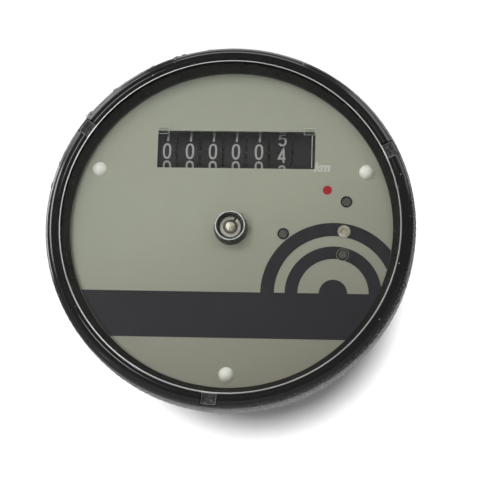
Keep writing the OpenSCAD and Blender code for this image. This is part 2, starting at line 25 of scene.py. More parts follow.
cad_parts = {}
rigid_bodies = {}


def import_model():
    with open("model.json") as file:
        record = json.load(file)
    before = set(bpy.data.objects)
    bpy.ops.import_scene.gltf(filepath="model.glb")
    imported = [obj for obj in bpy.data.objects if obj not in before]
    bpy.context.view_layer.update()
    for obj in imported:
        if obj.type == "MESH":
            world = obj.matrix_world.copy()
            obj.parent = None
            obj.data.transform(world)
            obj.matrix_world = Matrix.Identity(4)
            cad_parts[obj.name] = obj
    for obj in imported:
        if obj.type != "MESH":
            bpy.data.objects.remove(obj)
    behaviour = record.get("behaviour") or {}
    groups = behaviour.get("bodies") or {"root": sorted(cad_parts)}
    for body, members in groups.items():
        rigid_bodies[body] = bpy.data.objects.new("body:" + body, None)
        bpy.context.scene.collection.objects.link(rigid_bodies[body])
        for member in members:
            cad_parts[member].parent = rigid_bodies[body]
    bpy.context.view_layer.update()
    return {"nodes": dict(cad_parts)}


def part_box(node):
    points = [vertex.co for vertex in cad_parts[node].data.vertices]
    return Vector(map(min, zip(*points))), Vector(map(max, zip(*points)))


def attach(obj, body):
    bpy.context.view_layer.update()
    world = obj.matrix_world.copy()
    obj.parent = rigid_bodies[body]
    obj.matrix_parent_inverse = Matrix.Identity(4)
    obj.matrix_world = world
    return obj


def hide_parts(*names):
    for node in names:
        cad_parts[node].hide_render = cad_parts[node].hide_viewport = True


for leftover in list(bpy.data.objects):
    bpy.data.objects.remove(leftover, do_unlink=True)
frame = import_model()

LOG = logging.getLogger("hubodometer")
MM = 0.001
RGB = tuple[float, float, float]
Ramp = tuple[float, float, float, float]
Band = tuple[float, float, float]
Pair = tuple[float, float]
Points = list[Pair]
Socket = bpy.types.NodeSocket
Object = bpy.types.Object
READY: dict[str, bpy.types.Material] = {}
WHITE = (1.0, 1.0, 1.0)
MIX_COLOUR_A, MIX_COLOUR_B, MIX_COLOUR_OUT = 6, 7, 2


class Body(Enum):
    """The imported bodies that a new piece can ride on."""

    CASE = "case"
    PENDULUM = "pendulum"
    WHEEL_1 = "hundred_thousands_wheel"
    WHEEL_2 = "ten_thousands_wheel"
    WHEEL_3 = "thousands_wheel"
    WHEEL_4 = "hundreds_wheel"
    WHEEL_5 = "tens_wheel"
    WHEEL_6 = "units_wheel"


class Slot(Enum):
    """The names of some of the record's material slots."""

    BEZEL = "bezel_black"
    CLEAR = "clear_plastic"
    DIAL = "dial_paint"
    STUD = "stud_steel"
    WHEEL = "wheel_black"


def mm(value: float) -> float:
    """Millimetres as metres."""
    return value * MM


def front_of(node: str) -> float:
    """The height of a node's front above the mounting face."""
    return -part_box(node)[0].y


def radius_of(node: str) -> float:
    """The largest radius of a node that is centred on the stud."""
    low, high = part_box(node)
    return (high.x - low.x) / 2


def middle_of(node: str) -> Vector:
    """The middle of a node's box."""
    low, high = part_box(node)
    return (low + high) / 2


def placed(name: str, data: bpy.types.ID | None) -> Object:
    """Puts a new object into the scene.

    Args:
        name: Its name.
        data: Its mesh, curve, lamp or camera data.

    Returns:
        The object.
    """
    obj = bpy.data.objects.new(name, data)
    bpy.context.scene.collection.objects.link(obj)
    return obj


class NodeMaker:
    """Adds nodes to a tree. Places are Object coordinates, in metres."""

    def __init__(self, tree: bpy.types.NodeTree, place: str = "Object") -> None:
        """Starts with the coordinates that the other nodes read."""
        self.tree = tree
        self.place = tree.nodes.new("ShaderNodeTexCoord").outputs[place]

    def plug(self, socket: Socket, value: object) -> None:
        """Links a socket to another node's output, or sets its own value.

        Args:
            socket: The input to feed.
            value: An output socket, or a number or colour.
        """
        if isinstance(value, Socket):
            self.tree.links.new(value, socket)
        elif isinstance(value, tuple) and len(value) == 3 and socket.type == "RGBA":
            socket.default_value = (*value, 1.0)
        else:
            socket.default_value = value

    def add(self, kind: str, inputs: dict[str | int, object], **settings: object) -> bpy.types.Node:
        """Adds one shader node.

        Args:
            kind: The node's type name, after ShaderNode.
            inputs: Values or links of its inputs, by name or number.
            settings: Properties of the node.

        Returns:
            The new node.
        """
        node = self.tree.nodes.new(f"ShaderNode{kind}")
        for key, value in settings.items():
            setattr(node, key, value)
        for key, value in inputs.items():
            self.plug(node.inputs[key], value)
        return node

    def noise(self, scale: float, layers: float, rough: float, place: Socket | None = None) -> Socket:
        """Noise from 0 to 1, with scale features per metre."""
        return self.add("TexNoise", {"Vector": place or self.place, "Scale": scale, "Detail": layers,
                                     "Roughness": rough}).outputs["Fac"]

    def maths(self, operation: str, first: object, second: object = 0.0) -> Socket:
        """The result of one Math node."""
        return self.add("Math", {0: first, 1: second}, operation=operation).outputs[0]

    def times(self, first: object, second: object) -> Socket:
        """The product of two fields or numbers."""
        return self.maths("MULTIPLY", first, second)

    def total(self, *fields: Socket) -> Socket:
        """The sum of several fields."""
        return reduce(partial(self.maths, "ADD"), fields)

    def vector_maths(self, operation: str, first: object, second: object,
                     output: str = "Value") -> Socket:
        """The result of one Vector Math node."""
        return self.add("VectorMath", {0: first, 1: second}, operation=operation).outputs[output]

    def any_ray(self, *kinds: str) -> Socket:
        """1 for rays of any of these kinds, else 0."""
        rays = self.add("LightPath", {}).outputs
        return reduce(partial(self.maths, "MAXIMUM"), (rays[f"Is {kind} Ray"] for kind in kinds))

    def along(self, direction: RGB) -> Socket:
        """How far the place lies along a direction."""
        return self.vector_maths("DOT_PRODUCT", self.place, direction)

    def spread(self, value: Socket, low: float, high: float, to_low: float = 0.0,
               to_high: float = 1.0) -> Socket:
        """Maps low..high of a field to to_low..to_high, and holds the ends."""
        return self.add("MapRange", {"Value": value, "From Min": low, "From Max": high, "To Min": to_low,
                                     "To Max": to_high}, clamp=True).outputs["Result"]

    def within(self, value: Socket, low: float, high: float, soft: float) -> Socket:
        """1 between low and high, falling to 0 within soft on both sides."""
        return self.times(self.spread(value, low - soft, low),
                          self.spread(value, high, high + soft, 1.0, 0.0))

    def blend(self, share: object, first: object, second: object) -> Socket:
        """Mixes two colours by share."""
        inputs = {"Factor": share, MIX_COLOUR_A: first, MIX_COLOUR_B: second}
        return self.add("Mix", inputs, data_type="RGBA").outputs[MIX_COLOUR_OUT]

    def stretched(self, *parts: tuple[Socket, float]) -> Socket:
        """A coordinate made of up to three fields, each times its own number."""
        axes = {axis: self.times(value, scale) for axis, (value, scale) in zip("XYZ", parts)}
        return self.add("CombineXYZ", axes).outputs[0]

    def specks(self, cells: float, size: Pair, some: Socket, most: float) -> Socket:
        """Small round specks.

        Args:
            cells: Cells per metre, each with one speck.
            size: Where a speck starts to fade and where it ends, as a share of a cell.
            some: The field that says which specks are there.
            most: The strongest share that a speck covers.

        Returns:
            The share that the specks cover.
        """
        spots = self.add("TexVoronoi", {"Vector": self.place, "Scale": cells})
        spots = self.spread(spots.outputs["Distance"], *size, 1.0, 0.0)
        return self.times(self.times(spots, some), most)


class SurfaceMaker(NodeMaker):
    """Builds one new material round a Principled shader, and holds its colour and gloss so far."""

    def __init__(self, name: str) -> None:
        """Starts a material.

        Args:
            name: The material's name.
        """
        self.material = bpy.data.materials.new(name)
        self.material.use_nodes = True
        super().__init__(self.material.node_tree)
        self.shader = self.tree.nodes["Principled BSDF"]
        self.colour: Socket | RGB = WHITE
        self.gloss: Socket | float = 0.5

    @cached_property
    def around(self) -> dict[str, Socket]:
        """The place round the stud's axis.

        Returns:
            The radius, the angle, and the height towards the viewer.
        """
        parts = self.add("SeparateXYZ", {"Vector": self.place}).outputs
        return {"radius": self.distance((0.0, 0.0, 0.0)), "height": self.times(parts["Y"], -1.0),
                "angle": self.maths("ARCTAN2", parts["Z"], parts["X"])}

    def distance(self, middle: RGB) -> Socket:
        """The distance from a line through middle that points at the viewer; its y is 0."""
        flat = self.vector_maths("MULTIPLY", self.place, (1.0, 0.0, 1.0), "Vector")
        return self.vector_maths("DISTANCE", flat, middle)

    def feed(self, **values: object) -> None:
        """Sets or links sockets of the shader, with _ for a space in their names."""
        for key, value in values.items():
            self.plug(self.shader.inputs[key.replace("_", " ")], value)

    def tint(self, share: Socket, colour: Socket | RGB) -> None:
        """Lays a colour over the one so far, as strongly as share says."""
        self.colour = self.blend(share, self.colour, colour)

    def bump(self, height: Socket, distance: float, strength: float = 1.0) -> None:
        """Lays one more bump over the shader's normal.

        Args:
            height: The height field, from 0 to 1.
            distance: The height of 1, in metres.
            strength: Share of the bump that shows.
        """
        node = self.add("Bump", {"Height": height, "Distance": distance, "Strength": strength})
        normal = self.shader.inputs["Normal"]
        if normal.links:
            self.plug(node.inputs["Normal"], normal.links[0].from_socket)
        self.plug(normal, node.outputs["Normal"])


@dataclass(frozen=True)
class Pattern:
    """Noise, and the share of something that it is turned into.

    scale is its features per metre, or for marks that are drawn out round the stud's axis how finely
    they change each way. layers and rough are the number and weight of the finer layers. ramp says
    between which noise levels the share changes, and its values there.
    """

    scale: float | dict[str, float]
    layers: float = 4.0
    rough: float = 0.55
    ramp: Ramp = (0.3, 0.7, 0.0, 1.0)

    def noise(self, nodes: SurfaceMaker) -> Socket:
        """Adds the noise.

        Args:
            nodes: The material in the making.

        Returns:
            The noise, from 0 to 1.
        """
        if isinstance(self.scale, float):
            return nodes.noise(self.scale, self.layers, self.rough)
        place = nodes.stretched(*((nodes.around[way], scale) for way, scale in self.scale.items()))
        return nodes.noise(scale=1.0, layers=self.layers, rough=self.rough, place=place)

    def share(self, nodes: SurfaceMaker) -> Socket:
        """The share, within the ramp's two values."""
        return nodes.spread(self.noise(nodes), *self.ramp)


@dataclass(frozen=True)
class Finish:
    """A surface with mottled colour, uneven gloss, a fine grain and some pale dust."""

    name: str
    colour: RGB
    roughness: float
    metallic: float = 0.0
    specular: float = 0.5
    coat: float = 0.0
    coat_roughness: float = 0.12
    mottle: float = 0.08
    mottle_scale: float = 220.0
    gloss_change: float = 0.10
    gloss_scale: float = 2.7
    gloss_least: float = 0.03
    grain: float = 4e-6
    grain_scale: float = 5200.0
    dust: float = 0.0
    dust_colour: RGB = (0.34, 0.33, 0.31)
    dust_scale: float = 900.0
    dust_cells: float = 620.0
    dust_size: Pair = (0.05, 0.11)
    dust_level: Pair = (0.66, 0.72)
    dust_most: float = 0.75

    def material(self) -> bpy.types.Material:
        """Makes the material, once.

        Returns:
            The material, the same one at each call.
        """
        if self.name not in READY:
            READY[self.name] = self.build()
        return READY[self.name]

    def toned(self, share: float | RGB) -> RGB:
        """The colour times one share, or a share for each channel, up to white."""
        shares = share if isinstance(share, tuple) else (share,) * 3
        return tuple(min(c * s, 1.0) for c, s in zip(self.colour, shares))

    def build(self) -> bpy.types.Material:
        """Builds the nodes.

        Returns:
            The new material.
        """
        nodes = SurfaceMaker(self.name)
        nodes.feed(Metallic=self.metallic, Specular_IOR_Level=self.specular,
                   Coat_Weight=self.coat, Coat_Roughness=self.coat_roughness)
        cloud = Pattern(self.mottle_scale, layers=5.0).share(nodes)
        nodes.colour = nodes.blend(cloud, self.toned(1 - self.mottle), self.toned(1 + self.mottle))
        cloud = Pattern(self.mottle_scale * self.gloss_scale, layers=6.0).share(nodes)
        nodes.gloss = nodes.spread(
            cloud, 0.0, 1.0, max(self.roughness - self.gloss_change, self.gloss_least),
            min(self.roughness + self.gloss_change, 1.0))
        self.detail(nodes)
        if self.dust:
            nodes.tint(self.dust_share(nodes), self.dust_colour)
        nodes.feed(Base_Color=nodes.colour, Roughness=nodes.gloss)
        nodes.bump(Pattern(self.grain_scale, layers=3.0).noise(nodes), self.grain)
        return nodes.material

    def detail(self, nodes: SurfaceMaker) -> None:
        """Room for what one kind of surface adds; here nothing."""

    def dust_share(self, nodes: SurfaceMaker) -> Socket:
        """Adds small pale specks.

        Args:
            nodes: The material in the making.

        Returns:
            The share that they cover, from 0 to 1.
        """
        low, high = (level - self.dust for level in self.dust_level)
        some = Pattern(self.dust_scale, layers=2.0, ramp=(low, high, 0.0, 1.0)).share(nodes)
        return nodes.specks(self.dust_cells, self.dust_size, some, self.dust_most)


@dataclass(frozen=True)
class TurnedMetal(Finish):
    """Metal turned on a lathe: fine rings round the stud's axis."""

    metallic: float = 1.0
    ring_pitch: float = 0.00022
    ring_height: float = 3e-6
    ring_gloss: Ramp = (0.3, 0.7, -0.04, 0.05)

    def detail(self, nodes: SurfaceMaker) -> None:
        """Adds the rings to the bump and to the gloss.

        Args:
            nodes: The material in the making.
        """
        travel = nodes.total(nodes.around["radius"], nodes.around["height"])
        place = nodes.stretched((travel, 1 / self.ring_pitch))
        rings = nodes.noise(scale=1.0, layers=3.0, rough=0.7, place=place)
        nodes.bump(rings, self.ring_height)
        nodes.gloss = nodes.total(nodes.gloss, nodes.spread(rings, *self.ring_gloss))


@dataclass(frozen=True)
class BrushedMetal(Finish):
    """Rolled sheet: long fine lines along X."""

    metallic: float = 1.0
    lines_along: float = 60.0
    line_pitch: float = 0.00012
    line_height: float = 2.5e-6
    line_ramp: Ramp = (0.35, 0.75, 0.0, 0.5)
    line_tone: float = 0.82

    def detail(self, nodes: SurfaceMaker) -> None:
        """Adds the lines to the bump and the colour.

        Args:
            nodes: The material in the making.
        """
        parts = nodes.add("SeparateXYZ", {"Vector": nodes.place}).outputs
        place = nodes.stretched((parts["X"], self.lines_along),
                                (nodes.total(parts["Z"], parts["Y"]), 1 / self.line_pitch))
        lines = nodes.noise(scale=1.0, layers=3.0, rough=0.6, place=place)
        nodes.bump(lines, self.line_height)
        nodes.tint(nodes.spread(lines, *self.line_ramp), self.toned(self.line_tone))


@dataclass(frozen=True)
class CastMetal(Finish):
    """Die-cast metal: a soft orange-peel skin, flow marks and small scuffs."""

    metallic: float = 1.0
    skin: Pattern = Pattern(1500.0, 4.0, 0.6)
    skin_height: float = 1.2e-5
    flow: Pattern = Pattern(60.0, 6.0, 0.65, (0.5, 0.72, 0.0, 0.55))
    flow_tone: float = 0.8
    scuffs: Pattern = Pattern({"angle": 9.0, "height": 9000.0, "radius": 200.0}, 4.0, 0.6,
                              (0.62, 0.7, 0.0, 0.5))
    scuff_tone: float = 1.18

    def detail(self, nodes: SurfaceMaker) -> None:
        """Adds the skin, the flow marks and the scuffs.

        Args:
            nodes: The material in the making.
        """
        nodes.bump(self.skin.noise(nodes), self.skin_height)
        nodes.tint(self.flow.share(nodes), self.toned(self.flow_tone))
        nodes.tint(self.scuffs.share(nodes), self.toned(self.scuff_tone))


@dataclass(frozen=True)
class BezelPlastic(Finish):
    """Glossy black plastic whose outer side is scuffed, with streaks that run round the rim."""

    side_inner: Ramp = (mm(41.0), mm(41.2), 0.0, 1.0)
    side_top: Ramp = (mm(24.2), mm(24.55), 1.0, 0.0)
    scuff_ramp: Ramp = (0.36, 0.66, 0.25, 1.0)
    scuff_colour: RGB = (0.040, 0.043, 0.055)
    scuff_roughness: float = 0.72
    scuff_height: float = 1.6e-5
    scuff_strength: float = 0.35
    streaks: Pattern = Pattern({"angle": 14.0, "height": 5200.0}, 5.0, 0.62, (0.64, 0.74, 0.0, 0.6))
    streak_colour: RGB = (0.2, 0.205, 0.22)
    flecks: Pattern = Pattern({"angle": 75.0, "height": 2900.0}, 4.0, 0.7, (0.53, 0.64, 0.0, 0.7))
    fleck_colour: RGB = (0.26, 0.265, 0.28)
    scratches: Pattern = Pattern({"angle": 26.0, "radius": 7000.0, "height": 7000.0}, 3.0, 0.6,
                                 (0.70, 0.76, 0.0, 0.5))
    scratch_colour: RGB = (0.10, 0.10, 0.11)
    wear_and_highlight_patches: Pattern = Pattern({"angle": 80.0, "radius": 4200.0}, 4.0, 0.7, (0.50, 0.66, 0.0, 0.9))
    rub_colour: RGB = (0.15, 0.152, 0.16)
    rub_edge: Ramp = (mm(40.9), mm(41.5), 0.0, 1.0)
    rub_way: RGB = (0.97, 0.0, -0.24)
    rub_ramp: Ramp = (mm(8), mm(36), 0.22, 1.0)
    parting: Band = (mm(24.15), mm(24.27), mm(0.04))
    parting_inner: Ramp = (mm(41.0), mm(41.3), 0.0, 1.0)
    parting_colour: RGB = (0.002, 0.002, 0.002)
    step: Band = (mm(39.35), mm(39.4), mm(0.14))
    step_height: float = mm(0.03)
    step_strength: float = 0.5

    def detail(self, nodes: SurfaceMaker) -> None:
        """Adds the scuffed side, the rubbed edge, the parting line and the step in the face.

        Args:
            nodes: The material in the making.
        """
        radius, height = nodes.around["radius"], nodes.around["height"]
        side = nodes.times(nodes.spread(radius, *self.side_inner),
                           nodes.spread(height, *self.side_top))
        grooves = self.streaks.noise(nodes)
        scuffed = nodes.times(side, nodes.spread(grooves, *self.scuff_ramp))
        nodes.tint(scuffed, self.scuff_colour)
        nodes.tint(nodes.times(side, nodes.spread(grooves, *self.streaks.ramp)), self.streak_colour)
        nodes.tint(nodes.times(side, self.flecks.share(nodes)), self.fleck_colour)
        nodes.tint(self.scratches.share(nodes), self.scratch_colour)
        rubbed = nodes.times(self.wear_and_highlight_patches.share(nodes), nodes.spread(radius, *self.rub_edge))
        rubbed = nodes.times(rubbed, nodes.spread(nodes.along(self.rub_way), *self.rub_ramp))
        nodes.tint(rubbed, self.rub_colour)
        parting = nodes.times(nodes.within(height, *self.parting),
                              nodes.spread(radius, *self.parting_inner))
        nodes.tint(parting, self.parting_colour)
        dull = nodes.maths("MAXIMUM", scuffed, rubbed)
        nodes.gloss = nodes.add("Mix", {"Factor": dull, "A": nodes.gloss, "B": self.scuff_roughness}
                                ).outputs["Result"]
        nodes.bump(nodes.times(grooves, side), self.scuff_height, self.scuff_strength)
        nodes.bump(nodes.within(radius, *self.step), self.step_height, self.step_strength)


@dataclass(frozen=True)
class HighlightedBush(Finish):
    """Black plastic with a painted highlight along its top edge."""

    edge: Band = (mm(3.18), mm(3.42), mm(0.03))
    highlight_foot: Ramp = (mm(23.3), mm(23.35), 0.0, 1.0)
    highlight_colour: RGB = (0.62, 0.62, 0.60)
    wear_and_highlight_patches: Pattern = Pattern({"angle": 2.2, "radius": 900.0}, 3.0, 0.6, (0.25, 0.5, 0.55, 1.0))
    recess: Ramp = (mm(3.05), mm(3.1), 0.8, 0.0)
    recess_colour: RGB = (0.065, 0.068, 0.058)

    def detail(self, nodes: SurfaceMaker) -> None:
        """Adds the paler recess, and a painted highlight on the top edge, broken up by noise.

        Args:
            nodes: The material in the making.
        """
        radius, height = nodes.around["radius"], nodes.around["height"]
        # Painted highlight: a pale ring on the top edge, where light would catch it.
        edge = nodes.times(nodes.within(radius, *self.edge), nodes.spread(height, *self.highlight_foot))
        nodes.tint(nodes.spread(radius, *self.recess), self.recess_colour)
        nodes.tint(nodes.times(edge, self.wear_and_highlight_patches.share(nodes)), self.highlight_colour)


@dataclass(frozen=True)
class BoreShadedBush(Finish):
    """Pale brass with a dark ring of painted shade round the bore of the pivot bush."""

    bore_shade_ramp: Ramp = (mm(0.42), mm(0.72), 0.9, 0.0)
    bore_shade_colour: RGB = (0.16, 0.14, 0.09)

    def detail(self, nodes: SurfaceMaker) -> None:
        """Adds the painted shade ring round the bore."""
        # Painted shade: darkens the brass close to the bore, where the hole lies in shade.
        away = nodes.distance(tuple(middle_of("pivot_bush") * Vector((1.0, 0.0, 1.0))))
        nodes.tint(nodes.spread(away, *self.bore_shade_ramp), self.bore_shade_colour)


@dataclass(frozen=True)
class PrintedPaint(Finish):
    """Smooth satin paint with a faint drift of tone and tiny dark flecks, and a painted shade that
    darkens it towards one side.
    """

    specular: float = 0.2
    grain: float = 6e-7
    drift: Pattern = Pattern(34.0, 2.0, ramp=(0.35, 0.65, 0.0, 0.6))
    drift_tone: RGB = (1.03, 0.99, 0.95)
    painted_shade: RGB = WHITE
    painted_shade_way: RGB = (0.35, 0.0, -0.94)
    painted_shade_ramp: Ramp = (mm(-5), mm(36), 0.0, 1.0)
    flecks: Pattern = Pattern(330.0, 1.0, ramp=(0.62, 0.64, 0.0, 1.0))
    fleck_cells: float = 210.0
    fleck_size: Pair = (0.018, 0.032)
    fleck_share: float = 0.35
    fleck_colour: RGB = (0.09, 0.09, 0.08)

    def detail(self, nodes: SurfaceMaker) -> None:
        """Adds the drift, the painted shade and the flecks.

        Args:
            nodes: The material in the making.
        """
        nodes.tint(self.drift.share(nodes), self.toned(self.drift_tone))
        # Painted shade: the colour darkens towards the lower right, standing in for light that falls off
        # across the dial.
        if self.painted_shade != WHITE:
            shade_share = nodes.spread(nodes.along(self.painted_shade_way), *self.painted_shade_ramp)
            nodes.tint(shade_share, self.toned(self.painted_shade))
        some = self.flecks.share(nodes)
        nodes.tint(nodes.specks(self.fleck_cells, self.fleck_size, some, self.fleck_share),
                   self.fleck_colour)


@dataclass(frozen=True)
class ClearPlastic(Finish):
    """Clear plastic: see-through head on, mirror-like at a slant, with dust and smears."""

    index: float = 1.45
    gloss_share: float = 0.6
    smears: Pattern = Pattern(90.0, 6.0, 0.7, (0.45, 0.75, 0.0, 1.0))
    haze: float = 0.006
    dust_alpha: float = 0.5
    rim: float = 0.0
    rim_line: Band = (mm(-0.10), mm(0.01), mm(0.02))
    rim_alpha: float = 0.45
    lug_start: Pair = (mm(0.05), mm(0.1))
    lug_alpha: float = 0.82
    lug_colour: RGB = (0.022, 0.022, 0.024)
    lug_wear: Pattern = Pattern(1300.0, ramp=(0.45, 0.75, 0.0, 1.0))
    lug_worn: RGB = (0.10, 0.10, 0.105)
    polish: Pattern = Pattern(700.0, ramp=(0.3, 0.8, 0.0, 1.0))

    def build(self) -> bpy.types.Material:
        """Builds the nodes.

        Returns:
            The new material.
        """
        nodes = SurfaceMaker(self.name)
        nodes.feed(Metallic=1.0, Base_Color=self.colour)
        mirror = nodes.add("Fresnel", {"IOR": self.index}).outputs["Fac"]
        layers = [nodes.times(mirror, self.gloss_share),
                  nodes.times(self.smears.share(nodes), self.haze),
                  nodes.times(self.dust_share(nodes), self.dust_alpha)]
        if self.rim:
            layers += self.edge_layers(nodes)
        gloss = nodes.spread(self.polish.share(nodes), 0.0, 1.0, self.roughness,
                             self.roughness + self.gloss_change)
        nodes.feed(Alpha=nodes.maths("MINIMUM", nodes.total(*layers), 1.0), Roughness=gloss)
        return nodes.material

    def edge_layers(self, nodes: SurfaceMaker) -> list[Socket]:
        """Makes the rim show as a fine line, and the lugs outside it dark and dull.

        Args:
            nodes: The material in the making.

        Returns:
            The opacity of the line and of the lugs.
        """
        outwards = nodes.maths("SUBTRACT", nodes.around["radius"], self.rim)
        edge = nodes.within(outwards, *self.rim_line)
        lugs = nodes.spread(outwards, *self.lug_start)
        tone = nodes.blend(self.lug_wear.share(nodes), self.lug_colour, self.lug_worn)
        nodes.feed(Base_Color=nodes.blend(lugs, self.colour, tone),
                   Metallic=nodes.spread(lugs, 0.0, 1.0, 1.0, 0.0))
        return [nodes.times(edge, self.rim_alpha), nodes.times(lugs, self.lug_alpha)]


HOUSING = CastMetal("housing_metal", (0.58, 0.57, 0.545), 0.40)
STUD = TurnedMetal("stud_steel", (0.44, 0.45, 0.46), 0.32, mottle=0.12, gloss_change=0.05,
                   grain=8e-7, ring_height=6e-7)
RUBBER = Finish("rubber", (0.012, 0.012, 0.011), 0.55, specular=0.3, grain=1.5e-5, dust=0.03)
SEAL = Finish("seal_rubber", (0.004, 0.004, 0.0025), 0.34, specular=0.15, grain=6e-6, dust=0.10)
BEZEL = BezelPlastic("bezel_black", (0.0045, 0.0045, 0.0045), 0.11, specular=0.42,
                     gloss_change=0.04, dust=0.14)
LENS = ClearPlastic("clear_plastic", (0.95, 0.96, 0.95), 0.05, gloss_change=0.06, dust=0.09,
                    rim=mm(38.7))
PANE = ClearPlastic("window_plastic", (0.93, 0.95, 0.93), 0.06, gloss_change=0.08, haze=0.02)
# Pale lines on the window's edges: painted highlights.
PANE_EDGE_HIGHLIGHT = Finish("window_edge_highlight", (0.50, 0.52, 0.47), 0.3, specular=0.2, mottle=0.12)
# Pale colour of the lens's round edge: a painted highlight, on top of its real gloss.
LENS_EDGE_HIGHLIGHT = Finish("lens_edge_highlight", (0.44, 0.45, 0.44), 0.17, specular=0.8, mottle=0.14, mottle_scale=90.0)
# Pale lines on the lugs' cut edges: painted highlights.
PAINTED_LUG_GLINT = Finish("painted_lug_glint", (0.15, 0.15, 0.155), 0.25, mottle=0.5, mottle_scale=900.0)
SHAFT = TurnedMetal("shaft_steel", (0.53, 0.51, 0.41), 0.42, mottle=0.05, gloss_change=0.04,
                    grain=5e-7, ring_pitch=0.00012, ring_height=8e-7)
RING = TurnedMetal("ring_steel", (0.36, 0.355, 0.31), 0.46, mottle=0.08, gloss_change=0.06,
                   grain=6e-7, ring_pitch=0.00015, ring_height=6e-7)
BRASS = TurnedMetal("brass", (0.72, 0.52, 0.22), 0.30, mottle=0.14)
PLATE = BrushedMetal("plate_steel", (0.50, 0.50, 0.49), 0.36)
# The front bush's pale top edge is a painted highlight.
BUSH = HighlightedBush("bush_black", (0.007, 0.007, 0.007), 0.28, specular=0.3, mottle=0.15)
# The dial's paint is darkened towards its lower right by a painted shade.
DIAL = PrintedPaint("dial_paint", (0.305, 0.324, 0.258), 0.5, mottle=0.018, gloss_change=0.05,
                    painted_shade=(0.735, 0.675, 0.655))
DARK_PRINT = PrintedPaint("dark_print", (0.011, 0.011, 0.014), 0.46, mottle=0.06, grain=1.5e-7,
                          dust=0.05)
RED_PRINT = PrintedPaint("red_print", (0.32, 0.004, 0.009), 0.42, mottle=0.05)
PALE_PRINT = PrintedPaint("pale_print", (0.47, 0.49, 0.45), 0.5, mottle=0.03)
RIVET = Finish("white_plastic", (0.73, 0.74, 0.66), 0.28, coat=0.2, mottle=0.03, grain=2e-6)
IRON = CastMetal("weight_iron", (0.23, 0.22, 0.21), 0.55, metallic=0.9)
PIN = Finish("pin_grey", (0.085, 0.085, 0.070), 0.34, metallic=0.5, mottle=0.2, mottle_scale=1400.0)
# The pivot bush's dark ring round its bore is painted shade.
PALE_BRASS = BoreShadedBush("pale_brass", (0.70, 0.66, 0.52), 0.26, metallic=1.0, mottle=0.08, grain=8e-7)
ARBOR = TurnedMetal("arbor_steel", (0.40, 0.37, 0.28), 0.5, ring_height=5e-7, grain=5e-7)
WHEEL = Finish("wheel_black", (0.008, 0.008, 0.0075), 0.45, specular=0.2, mottle=0.2, dust=0.02)
FIGURE = PrintedPaint("figure_grey", (0.40, 0.42, 0.40), 0.5, mottle=0.09)
ACETAL = Finish("gear_white", (0.76, 0.76, 0.71), 0.38, mottle=0.04, coat=0.1)
BURR = Finish("burr_plastic", (0.035, 0.034, 0.032), 0.5, mottle=0.6, mottle_scale=2600.0, dust=0.2)
TORN_EDGE = Finish("torn_plastic", (0.40, 0.40, 0.40), 0.30, mottle=0.9, mottle_scale=2200.0)


@dataclass
class CarriedNodes:
    """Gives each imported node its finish."""

    kinds: tuple[tuple[Finish, str], ...] = (
        (HOUSING, "rear_housing"), (RUBBER, "case_gasket"), (BEZEL, "front_bezel"), (LENS, "lens"),
        (SEAL, "seal_ring"), (RING, "retaining_ring"), (BUSH, "front_bush pin_collars"),
        (STUD, "mounting_stud weight_screws"), (IRON, "pendulum_weight"), (ARBOR, "second_arbor"),
        (SHAFT, "centre_shaft plate_pillars pinion_shaft worm counter_shaft"),
        (BRASS, "drive_pinion rear_bearing third_gear worm_wheel"),
        (PLATE, "rear_plate front_plate pivot_bridge counter_frame"), (DIAL, "dial_plate"),
        (DARK_PRINT, "dial_print"), (RED_PRINT, "red_mark"), (RIVET, "dial_rivets"),
        (PIN, "gear_axle bridge_pins"), (PALE_BRASS, "pivot_bush"), (PANE, "window_insert"),
        (ACETAL, "first_gear second_gear transfer_pinion"), (WHEEL, "blank_drum number_wheel"))

    def build(self) -> list[Object]:
        """Sets the material of every node; numbered nodes share the finish of their kind.

        Returns:
            The nodes.
        """
        for plain in list(bpy.data.materials):
            bpy.data.materials.remove(plain)
        finishes = {name: finish for finish, names in self.kinds for name in names.split()}
        for name, node in frame["nodes"].items():
            finish = finishes[name.rstrip("_0123456789")]
            node.data.materials.clear()
            node.data.materials.append(finish.material())
        return list(frame["nodes"].values())


